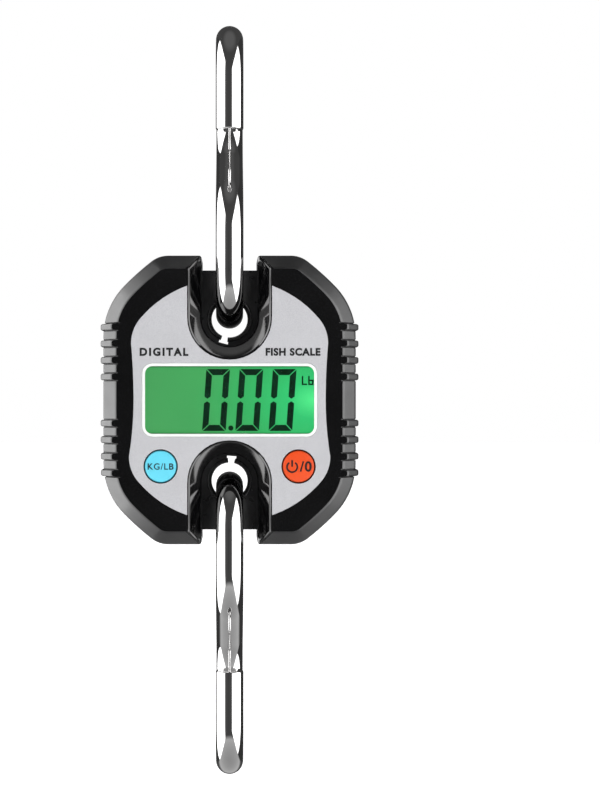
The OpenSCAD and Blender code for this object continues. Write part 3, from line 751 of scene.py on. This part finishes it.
def case_shell(name, way):
    """One shell, hollow and open at the split; way is -1 for the front and 1 for the back."""
    outer = [
        at_depth(case_loop(inset, notch_inset_for(inset)), Y_SPLIT + way * depth)
        for inset, depth in bevel_profile()
    ]
    depth = Y_SPLIT - Y_FRONT
    notch_wall = WALL + NOTCH_BEVEL_W * (1 - WALL / BEVEL_D)
    inner = [
        at_depth(case_loop(WALL, WALL, 0), Y_SPLIT),
        at_depth(case_loop(WALL, WALL, 0), Y_SPLIT + way * (depth - BEVEL_D - HOLLOW_STEP)),
        at_depth(
            case_loop(BEVEL_W + HOLLOW_INSET, notch_wall, 0), Y_SPLIT + way * (depth - WALL)),
    ]
    return stack(name, outer[::-1] + inner)


def panel_edge(bulge):
    """The panel's right edge from its waist up to its brow."""
    corner = (bulge - PANEL_CORNER_R, PANEL_BULGE_Z)
    turn = math.radians(PANEL_CORNER_TURN)
    brow = (
        corner[0] + (PANEL_CORNER_R - PANEL_BROW_R) * math.cos(turn),
        corner[1] + (PANEL_CORNER_R - PANEL_BROW_R) * math.sin(turn))
    shares = [i / 10 for i in range(1, 10)]
    waist = [(PANEL_WAIST + (bulge - PANEL_WAIST) * t * t, PANEL_BULGE_Z * t) for t in shares]
    return (
        waist
        + arc(corner, PANEL_CORNER_R, 0, turn, 16)
        + arc(brow, PANEL_BROW_R, turn, turn + math.radians(PANEL_BROW_TURN), 20, 1)
    )


def panel_loop():
    """The panel's whole outline, which bulges more below its middle than above."""
    top = panel_edge(PANEL_BULGE_TOP)
    low = [(x, -z) for x, z in panel_edge(PANEL_BULGE_BOTTOM)]
    right = top[::-1] + [(PANEL_WAIST, 0)] + low
    return right + [(-x, z) for x, z in reversed(right)]


def notch_loop(radius, way):
    """A half circle round an eye, open outwards; way is 1 for the top and -1 for the bottom."""
    outside = HALF_H + 5 * PAST
    half = arc((0, EYE_Z), radius, 0, -math.pi, 48)
    return [(x, way * z) for x, z in half + [(-radius, outside), (radius, outside)]]


def panel_recess():
    """The panel's bed in the front shell, which leaves a lip round each notch."""
    outline = [(x * PANEL_ROOM, z * PANEL_ROOM) for x, z in panel_loop()]
    cutter = prism("recess", outline, Y_FRONT - PAST, Y_FRONT + PANEL_RECESS)
    lip = SLOT_R + NOTCH_BEVEL_W + PANEL_LIP - PANEL_GAP
    for way in (1, -1):
        carve(cutter, prism("lip", notch_loop(lip, way), Y_FRONT - 2 * PAST, Y_FRONT + PAST))
    return cutter


def cell_pocket(y0, y1):
    """The slot through the notch walls that the load cell lies in."""
    low = (cell_low.x - CELL_GAP, y0, cell_low.z - CELL_GAP)
    high = (cell_high.x + CELL_GAP, y1, cell_high.z + CELL_GAP)
    return block("pocket", low, high)


def key_centre(node):
    """The (x, z) middle of a key."""
    low, high = box_mm(node)
    return (low.x + high.x) / 2, (low.z + high.z) / 2


def satin_bevels(shell, satin):
    """Gives the bevel, ribs and side walls round the outside of a shell their own finish."""
    shell.data.materials.append(satin)
    for face in shell.data.polygons:
        if abs(face.normal.y) < FLAT_NORMAL and at_rim(face.center / MM):
            face.material_index = 1


def at_rim(point):
    """True on the outer walls and their bevel, but not in a notch or a screw well."""
    x, z = abs(point.x), abs(point.z)
    if x < SLOT_R + NOTCH_BEVEL_W + RIM_FROM_NOTCH:
        return False
    for well_x, well_z in well_places():
        if math.hypot(point.x - well_x, point.z - well_z) < WELL_RIM_R + RIM_FROM_WELL:
            return False
    return (
        x > PANEL_BULGE_BOTTOM + RIM_FROM_PANEL
        or x + z > RIM_CORNER
        or z > HALF_H - BEVEL_W - RIM_FROM_TOP
    )


def front_shell():
    """The front of the case, with the bed of the panel, the window, the key holes and the pocket."""
    shell = case_shell("front_shell", -1)
    outside, inside = Y_FRONT - PAST, Y_FRONT + WALL + PAST
    carve(shell, panel_recess())
    carve(shell, prism("window", rounded_rect(WINDOW), outside, inside))
    for node in ("unit_button", "power_button"):
        hole = [circle(KEY_HOLE_R, y, key_centre(node)) for y in (outside, inside)]
        carve(shell, stack("key_hole", hole))
    carve(shell, cell_pocket(cell_low.y - CELL_GAP, Y_SPLIT + PAST))
    dress(shell, "scale_body", case_gloss(), ["front_housing"])
    satin_bevels(shell, SATIN)


def well_places():
    """The (x, z) middles of the four screw wells."""
    return [(side * x, z) for side in (-1, 1) for x, z in (SCREW_TOP, SCREW_BOTTOM)]


def rear_shell():
    """The back of the case, with its screw wells, battery bay, door recess and pocket."""
    shell = case_shell("rear_shell", 1)
    root_y = Y_BACK - WALL + ROOT
    for place_xz in well_places():
        boss = [circle(BOSS_R, y, place_xz) for y in (Y_SPLIT + BOSS_GAP, root_y)]
        carve(shell, stack("boss", boss), "UNION")
    bay_outside = (BAY[0] + 2 * BAY_WALL, BAY[1] + 2 * BAY_WALL, BAY[2])
    carve(shell, prism("bay_outside", rounded_rect(bay_outside), BAY_FLOOR_Y, root_y), "UNION")
    door_ledge = Y_BACK - DOOR_T
    recess = [at_depth(rounded_rect(DOOR_RECESS, grow), y) for grow, y in (
        (RECESS_CHAMFER, Y_BACK + PAST), (RECESS_CHAMFER, Y_BACK),
        (0, Y_BACK - RECESS_CHAMFER), (0, door_ledge))]
    recess += [at_depth(rounded_rect(BAY), y) for y in (door_ledge, BAY_FLOOR_Y + BAY_FLOOR_T)]
    carve(shell, stack("door_recess", recess))
    well = (
        (WELL_R, WELL_FLOOR_Y), (WELL_R, Y_BACK - WELL_CHAMFER),
        (WELL_RIM_R, Y_BACK), (WELL_RIM_R, Y_BACK + PAST))
    for place_xz in well_places():
        carve(shell, stack("well", [circle(r, y, place_xz) for r, y in well]))
    finger = prism("finger_notch", FINGER_NOTCH, Y_BACK - FINGER_NOTCH_DEPTH, Y_BACK + PAST)
    carve(shell, finger)
    carve(shell, cell_pocket(Y_SPLIT - PAST, cell_high.y + CELL_GAP))
    dress(shell, "scale_body", BACK_BLACK, ["rear_housing"])
    satin_bevels(shell, SATIN)


# ---------------------------------------------------------------- the battery door

def door():
    """The battery door, with a fine groove round its face, its hinge, latch and finger grip."""
    hinge_x, hinge_y, _ = joint_at["battery_door_open"]
    y_out, y_in = Y_BACK - DOOR_FACE_GAP, Y_BACK - DOOR_T + DOOR_FACE_GAP
    right = DOOR_RECESS[0] / 2 - DOOR_GAP
    height = DOOR_RECESS[1] - 2 * DOOR_GAP
    centre = ((hinge_x + right) / 2, 0)
    size = (right - hinge_x, height, DOOR_CORNER_R)
    # How far the outline grows, and the depth: up the edge, over its chamfer and by the groove
    profile = (
        (-0.15, y_in), (0, y_in + 0.15), (0, y_out - 0.3), (-0.09, y_out - 0.09),
        (-0.3, y_out), (-1.15, y_out), (-1.22, y_out - 0.06), (-1.26, y_out - 0.3),
        (-1.54, y_out - 0.3), (-1.58, y_out - 0.06), (-1.65, y_out))
    rings = [at_depth(rounded_rect(size, grow, centre), y) for grow, y in profile]
    piece = stack("battery_door_cover", rings)
    end = height / 2
    for radius, reach in ((DOOR_T / 2 - DOOR_FACE_GAP, end), (HINGE_PIN_R, end + HINGE_PIN)):
        path = [(hinge_x, hinge_y, -reach), (hinge_x, hinge_y, reach)]
        carve(piece, tube("barrel", path, (radius, radius), 32), "UNION")
    latch = block(
        "latch", (LATCH_X[0], y_in - LATCH_REACH, -LATCH_HALF_W),
        (LATCH_X[1], y_in + LATCH_ROOT, LATCH_HALF_W))
    carve(piece, latch, "UNION")
    for i in range(GROOVE_COUNT):
        groove_x = door_high.x - GROOVE_FROM_END + i * GROOVE_PITCH
        groove = rounded_rect(GROOVE, centre=(groove_x, 0))
        carve(piece, prism("groove", groove, y_out - GROOVE_DEPTH, y_out + PAST))
    return dress(piece, "battery_door", BACK_BLACK, ["battery_door"])


# ---------------------------------------------------------------- keys

def key_cap(name, body, node, material):
    """A round key: a slightly domed cap, the flange that keeps it in and the stem behind it."""
    centre = key_centre(node)
    low, high = box_mm(node)
    crown = low.y
    flange_y = Y_FRONT + WALL + FLANGE_GAP
    flange_r = high.x - centre[0]
    dome = [(r, crown + KEY_DOME * (r / KEY_CROWN_R) ** 2) for r in KEY_DOME_STEPS]
    skirt = bend(dome[-1], *((KEY_R, crown + depth) for depth in KEY_EDGE), 5, 1)
    foot = [(KEY_R, flange_y), (flange_r, flange_y), (flange_r, flange_y + FLANGE_T)]
    stem = [(KEY_STEM_R, flange_y + FLANGE_T), (KEY_STEM_R, high.y)]
    cap = stack(name, [circle(r, y, centre) for r, y in dome + skirt + foot + stem])
    return dress(cap, body, material, [node], sharp=40)


def flat_mark(name, loops, y, body, material, centre=(0, 0)):
    """Printed shapes, each a loop of (x, z) points, joined into one and sunk in from y."""
    made = [
        prism(name, [(centre[0] + x, centre[1] + z) for x, z in loop], y, y + MARK_T)
        for loop in loops
    ]
    for other in made[1:]:
        carve(made[0], other, "UNION")
    return dress(made[0], body, material)


def text_mesh(name, words, weight, spacing):
    """Words as a flat solid in Blender's own font; the thickness is set later."""
    curve = bpy.data.curves.new(name, "FONT")
    curve.body = words
    curve.extrude = 0.02
    curve.offset = weight
    curve.space_character = spacing
    curve.resolution_u = 6
    writing = bpy.data.objects.new(name, curve)
    bpy.context.scene.collection.objects.link(writing)
    seen = bpy.context.evaluated_depsgraph_get()
    mesh = bpy.data.meshes.new_from_object(writing.evaluated_get(seen))
    bpy.data.objects.remove(writing)
    return mesh


def lettering(
        name, words, width, centre, y, body, material, weight=0.02, spacing=1.12):
    """Plain printed words, fitted to a width in millimetres and centred on (x, z)."""
    mesh = text_mesh(name, words, weight, spacing)
    xs = [v.co.x for v in mesh.vertices]
    ys = [v.co.y for v in mesh.vertices]
    scale = width / (max(xs) - min(xs))
    middle = Vector(((max(xs) + min(xs)) / 2, (max(ys) + min(ys)) / 2, 0))
    stand = Matrix.Rotation(math.pi / 2, 4, "X")
    half_t = PRINT_T / 2
    for vertex in mesh.vertices:
        flat = (vertex.co - middle) * scale
        flat.z = half_t if vertex.co.z > 0 else -half_t
        vertex.co = (stand @ flat + Vector((centre[0], y + half_t, centre[1]))) * MM
    shape = bmesh.new()
    shape.from_mesh(mesh)
    bmesh.ops.remove_doubles(shape, verts=shape.verts, dist=0.004 * MM)
    bmesh.ops.dissolve_degenerate(shape, dist=0.002 * MM, edges=shape.edges)
    bmesh.ops.recalc_face_normals(shape, faces=shape.faces)
    shape.to_mesh(mesh)
    shape.free()
    piece = bpy.data.objects.new(name, mesh)
    bpy.context.scene.collection.objects.link(piece)
    return dress(piece, body, material)


def power_mark(name, centre, y, body, material):
    """An open ring with a bar through its gap."""
    outer, inner, half_bar = 1.95, 1.42, 0.27
    start, end = math.radians(125), math.radians(415)
    ring = arc((0, 0), outer, start, end, 28) + arc((0, 0), inner, end, start, 28)
    bar_low, bar_high = 0.1, outer + 0.3
    bar = [(-half_bar, bar_low), (half_bar, bar_low), (half_bar, bar_high), (-half_bar, bar_high)]
    return flat_mark(name, [ring, bar], y, body, material, centre)


def keys():
    """Both keys with their marks, and the words on the panel."""
    print_black = moulded("print_black", (0.004, 0.004, 0.005), (0.009, 0.009, 0.01), 0.45, 0.6)
    blue = moulded("key_blue", (0.105, 0.6, 0.77), (0.13, 0.65, 0.82), 0.35, 0.5)
    red = moulded("key_red", (0.74, 0.06, 0.003), (0.8, 0.075, 0.005), 0.35, 0.5)
    key_cap("unit_key_cap", "unit_key", "unit_button", blue)
    key_cap("power_key_cap", "power_key", "power_button", red)
    face = box_mm("unit_button")[0].y - PRINT_PROUD
    lettering(
        "unit_key_mark", "KG/LB", 8.4, key_centre("unit_button"), face, "unit_key",
        print_black, 0.01)
    x, z = key_centre("power_button")
    power_mark(
        "power_key_mark", (x - 2.1, z - 0.15), face, "power_key", print_black)
    lettering(
        "power_key_zero", "/0", 3.9, (x + 2.3, z), face, "power_key", print_black)
    panel_face = box_mm("face_panel")[0].y - PRINT_PROUD
    for name, words, width, x, spacing in LABELS:
        lettering(
            name, words, width, (x, LABEL_Z), panel_face, "scale_body", print_black,
            LABEL_WEIGHT, spacing)


# ---------------------------------------------------------------- hooks and bushes

def half_hook_path():
    """Half of the S, as (depth, height) about its middle: the tip, the crown and the shank."""
    tip = (hook_high.z - hook_low.z) / 2 - TIP_REACH
    sin, cos = math.sin(SHANK_LEAN), math.cos(SHANK_LEAN)
    slant = (2 * LOOP_R - 2 * SHANK_BEND_R * (1 - cos)) / sin
    shank = SHANK_BEND_R * sin + slant / 2 * cos
    straight = [tip, tip + TIP_ROUND * TIP_ROUND_START, tip + TIP_ROUND]
    straight += [tip + TIP_ROUND + (LOOP_W - tip - TIP_ROUND) * i / 5 for i in range(1, 5)]
    return (
        [(-LOOP_R, z) for z in straight]
        + arc((0, LOOP_W), LOOP_R, math.pi, 0, 56)
        + [(LOOP_R, LOOP_W + (shank - LOOP_W) * i / 3) for i in (1, 2)]
        + arc((LOOP_R - SHANK_BEND_R, shank), SHANK_BEND_R, 0, -SHANK_LEAN, 18)
        + [(slant / 4 * sin, slant / 4 * cos)]
    )


def hook(name, way, body, node):
    """way is 1 for the hook above the case and -1 for the one below it."""
    half = half_hook_path()
    path = half + [(0, 0)] + [(-y, -z) for y, z in reversed(half)]
    points = [(0, y, way * (HOOK_Z + z)) for y, z in path]
    radii = [ROD_R] * len(points)
    radii[0] = radii[-1] = ROD_R - TIP_ROUND
    radii[1] = radii[-2] = ROD_R - TIP_ROUND * TIP_ROUND_START
    piece = tube(name, points, radii, 64)
    return dress(piece, body, STEEL, [node], sharp=50)


def bush_profile():
    """The cut face of a bush as (radius, depth): an hourglass bore, and a flange at each end."""
    bore = [
        (BUSH_BORE_R + (BUSH_MOUTH_R - BUSH_BORE_R) * (i / 8) ** 2, BUSH_HALF_T * i / 8)
        for i in range(-8, 9)
    ]
    inner = BUSH_HALF_T - BUSH_FLANGE_T
    flange = bend(
        (BUSH_MOUTH_R + 0.2, BUSH_HALF_T), (BUSH_FLANGE_R, BUSH_HALF_T),
        (BUSH_FLANGE_R, inner + 0.15), 4)
    outside = [
        (BUSH_FLANGE_R, inner), (BUSH_OUT_R, inner),
        (BUSH_OUT_R, -inner), (BUSH_FLANGE_R, -inner)]
    return bore + flange + outside + [(r, -y) for r, y in reversed(flange)]


def bush(name, way, gap_degrees, body, node):
    """A split ring round one eye.

    Its gap lies gap_degrees clockwise from straight towards the case's middle.
    """
    middle = math.radians(-90 * way - gap_degrees)
    half_gap = math.asin(BUSH_GAP_W / 2 / BUSH_BORE_R)
    turns = [middle + half_gap + (2 * math.pi - 2 * half_gap) * i / 90 for i in range(91)]
    rings = [
        [(r * math.cos(t), y, way * EYE_Z + r * math.sin(t)) for r, y in bush_profile()]
        for t in turns
    ]
    nylon = moulded(
        name + "_nylon", (0.008, 0.008, 0.009), (0.014, 0.014, 0.015), 0.14, 0.22,
        Specular_IOR_Level=0.9, Coat_Weight=0.6, Coat_Roughness=0.1)
    return dress(stack(name, rings), body, nylon, [node])


# ---------------------------------------------------------------- battery springs

def coil(cell, wall_x, way):
    """A coil from the bay's wall to the cell's flat end; way is the wall's side of the cell."""
    low, high = box_mm(cell)
    y, z = (low.y + high.y) / 2, (low.z + high.z) / 2
    cell_x = (high if way > 0 else low).x + way * (SPRING_WIRE_R + SPRING_GAP)
    path = []
    for i in range(SPRING_TURNS * TURN_STEPS + 1):
        turn = i / TURN_STEPS
        share = turn / SPRING_TURNS
        radius = SPRING_WIDE_R + (SPRING_TIP_R - SPRING_WIDE_R) * share
        angle = 2 * math.pi * turn
        path.append((
            wall_x + (cell_x - wall_x) * share,
            y + radius * math.cos(angle), z + radius * math.sin(angle)))
    return tube("coil", path, [SPRING_WIRE_R] * len(path), 14)


def battery_springs():
    """A conical coil behind the flat end of each cell."""
    low, high = box_mm("battery_springs")
    metal = small_steel("spring_steel", 0.62)
    coils = coil("battery_upper", low.x + SPRING_WIRE_R, -1)
    carve(coils, coil("battery_lower", high.x - SPRING_WIRE_R, 1), "UNION")
    coils.name = "battery_coils"
    return dress(coils, "scale_body", metal, ["battery_springs"])


# ---------------------------------------------------------------- CAD nodes that keep their shape

def finish_nodes():
    """A material for each CAD node that stays, and softer edges on those that show."""
    chips = moulded(
        "chip_black", (0.012, 0.012, 0.013), (0.025, 0.025, 0.027), 0.35, 0.55)
    screw_steel = small_steel("screw_steel", 0.16)
    bright_tin = small_steel("bright_tin", 0.66)
    switch_black = moulded("switch_black", (0.01, 0.01, 0.01), (0.02, 0.02, 0.02), 0.4, 0.6)
    ivory = moulded("ivory_plastic", (0.66, 0.65, 0.6), (0.74, 0.73, 0.68), 0.3, 0.45)
    finishes = {
        "face_panel": silver_paint(),
        "window_frame": moulded("frame_white", (0.8, 0.82, 0.8), (0.88, 0.9, 0.88), 0.16, 0.28),
        "window_lens": clear_window(),
        "lcd_gasket": moulded(
            "gasket_foam", (0.012, 0.012, 0.012), (0.03, 0.03, 0.03), 0.7, 0.9, 1800, 0.05),
        "lcd_glass": lit_display(WINDOW[0], WINDOW[1]),
        "lcd_segments": moulded(
            "segment_ink", (0.001, 0.03, 0.012), (0.0015, 0.038, 0.016), 0.45, 0.6,
            Specular_IOR_Level=0.05),
        "lcd_backlight": ivory,
        "backlight_leds": moulded("led_resin", (0.8, 0.78, 0.4), (0.9, 0.88, 0.55), 0.12, 0.25),
        "lcd_pins": bright_tin,
        "main_pcb": circuit_board(),
        "pcb_components": chips,
        "pcb_screws": screw_steel,
        "unit_switch_base": switch_black,
        "power_switch_base": switch_black,
        "unit_switch_plunger": ivory,
        "power_switch_plunger": ivory,
        "load_cell": coated_steel(),
        "strain_gauges": moulded("gauge_film", (0.4, 0.16, 0.03), (0.6, 0.28, 0.06), 0.2, 0.35),
        "load_cell_screws": screw_steel,
        "gauge_wires": moulded("gauge_wire", (0.4, 0.02, 0.01), (0.55, 0.04, 0.02), 0.35, 0.5),
        "battery_wire_red": moulded(
            "wire_red", (0.42, 0.012, 0.01), (0.55, 0.02, 0.015), 0.32, 0.48),
        "battery_wire_black": moulded(
            "wire_black", (0.01, 0.01, 0.01), (0.02, 0.02, 0.02), 0.32, 0.48),
        "battery_upper": cell_wrap(),
        "battery_lower": cell_wrap(),
        "battery_contacts": bright_tin,
        "housing_screws": screw_steel,
    }
    for node, material in finishes.items():
        part = frame["nodes"][node]
        part.data.materials.clear()
        part.data.materials.append(material)
    soften("face_panel", 0.1)
    soften("window_frame", 0.12, 3)
    soften("load_cell", 0.22, 3)


# ---------------------------------------------------------------- studio

# In metres; the view's height is at the case's middle, and the shift is a share of it
CAMERA_DISTANCE = 0.55
VIEW_HEIGHT = 0.2683
FRAME_SHIFT = 0.088
SENSOR_MM = 36
FLOOR_DROP = 0.05
FLOOR_REACH = 6
LAMP_SIZE = 0.9
# Each fill light's name, place and power
FILLS = (("front_fill", (-0.3, -1.3, 0.9), 4.4), ("back_fill", (0.4, 1.4, 1.0), 6))
STUDIO_STRENGTH = 3.2


def make_camera():
    """Level with the case's middle and square to its face.

    The shift puts the scale left of the middle, where the photo has its front view.
    """
    lens = bpy.data.cameras.new("camera")
    lens.sensor_width = SENSOR_MM
    lens.lens = SENSOR_MM * CAMERA_DISTANCE / VIEW_HEIGHT
    lens.shift_x = FRAME_SHIFT
    camera = bpy.data.objects.new("camera", lens)
    camera.location = (0, -CAMERA_DISTANCE, 0)
    camera.rotation_euler = (math.pi / 2, 0, 0)
    bpy.context.scene.collection.objects.link(camera)
    bpy.context.scene.camera = camera


def make_floor():
    """A pale floor well below the lower hook."""
    z = cad_low.z - FLOOR_DROP
    far = FLOOR_REACH
    mesh = bpy.data.meshes.new("floor")
    corners = [(-far, -far, z), (far, -far, z), (far, far, z), (-far, far, z)]
    mesh.from_pydata(corners, [], [(0, 1, 2, 3)])
    mesh.materials.append(studio_white("floor_white", 0.6))
    floor = bpy.data.objects.new("floor", mesh)
    bpy.context.scene.collection.objects.link(floor)
    floor.visible_glossy = False


def make_world():
    """A studio to be seen in the steel and the gloss, dark but for a tall light on each side.

    The camera itself sees plain white behind the scale.
    """
    world = bpy.data.worlds.new("studio")
    bpy.context.scene.world = world
    world.use_nodes = True
    where = node_of(world, "ShaderNodeTexCoord")
    axes = axes_of(world, where.outputs["Generated"])
    # From straight behind, round by the left, the front and the right, to behind again
    ahead = math_of(world, "MULTIPLY", axes["Y"], -1)
    turn = math_of(world, "ARCTAN2", axes["X"], ahead)
    around = ramp(world, remap(world, turn, 0, 1, -math.pi, math.pi), greys(
        (0.0, 0.012), (0.128, 0.012), (0.138, 1.0), (0.37, 0.85), (0.4, 0.026),
        (0.5, 0.014), (0.55, 0.03), (0.575, 0.8), (0.78, 0.8), (0.795, 0.012)))
    # The lights are upright sheets, about as high above and below as they are far away
    steepness = math_of(world, "DIVIDE", axes["Z"], math_of(world, "ABSOLUTE", axes["X"]))
    share = ramp(world, remap(world, steepness, 0, 1, -2, 2), greys(
        (0.235, 0.0), (0.26, 1.0), (0.74, 1.0), (0.765, 0.0)))
    # Elsewhere: a grey floor, a dark wall all round and a dim ceiling
    rest = ramp(world, remap(world, axes["Z"], 0, 1, -1, 1), greys(
        (0.0, 0.1), (0.2, 0.15), (0.27, 0.02), (0.9, 0.018), (0.97, 0.035)))
    soft_boxes = world.node_tree.nodes["Background"]
    soft_boxes.inputs["Strength"].default_value = STUDIO_STRENGTH
    link(world, mixed(world, share, rest, around), soft_boxes.inputs["Color"])
    plain = node_of(world, "ShaderNodeBackground", Color=(1, 1, 1, 1), Strength=1.0)
    rays = node_of(world, "ShaderNodeLightPath")
    choice = node_of(world, "ShaderNodeMixShader")
    link(world, rays.outputs["Is Camera Ray"], choice.inputs[0])
    link(world, soft_boxes.outputs[0], choice.inputs[1])
    link(world, plain.outputs[0], choice.inputs[2])
    link(world, choice.outputs[0], world.node_tree.nodes["World Output"].inputs["Surface"])


def make_lights():
    """Soft fill from the front, above and behind, kept out of the reflections."""
    for name, place_m, power in FILLS:
        lamp = bpy.data.lights.new(name, "AREA")
        lamp.energy = power
        lamp.size = LAMP_SIZE
        light = bpy.data.objects.new(name, lamp)
        light.location = place_m
        light.rotation_euler = (-light.location).to_track_quat("-Z", "Y").to_euler()
        light.visible_glossy = False
        bpy.context.scene.collection.objects.link(light)


# ---------------------------------------------------------------- everything

make_camera()
make_floor()
make_world()
make_lights()
bpy.context.scene.view_settings.view_transform = "Standard"

front_shell()
rear_shell()
door()
keys()
hook("upper_hook_bar", 1, "top_hook", "top_hook")
hook("lower_hook_bar", -1, "bottom_hook", "bottom_hook")
bush("upper_bush_ring", 1, 15, "top_bush", "top_eye_bush")
bush("lower_bush_ring", -1, 5, "bottom_bush", "bottom_eye_bush")
battery_springs()
finish_nodes()
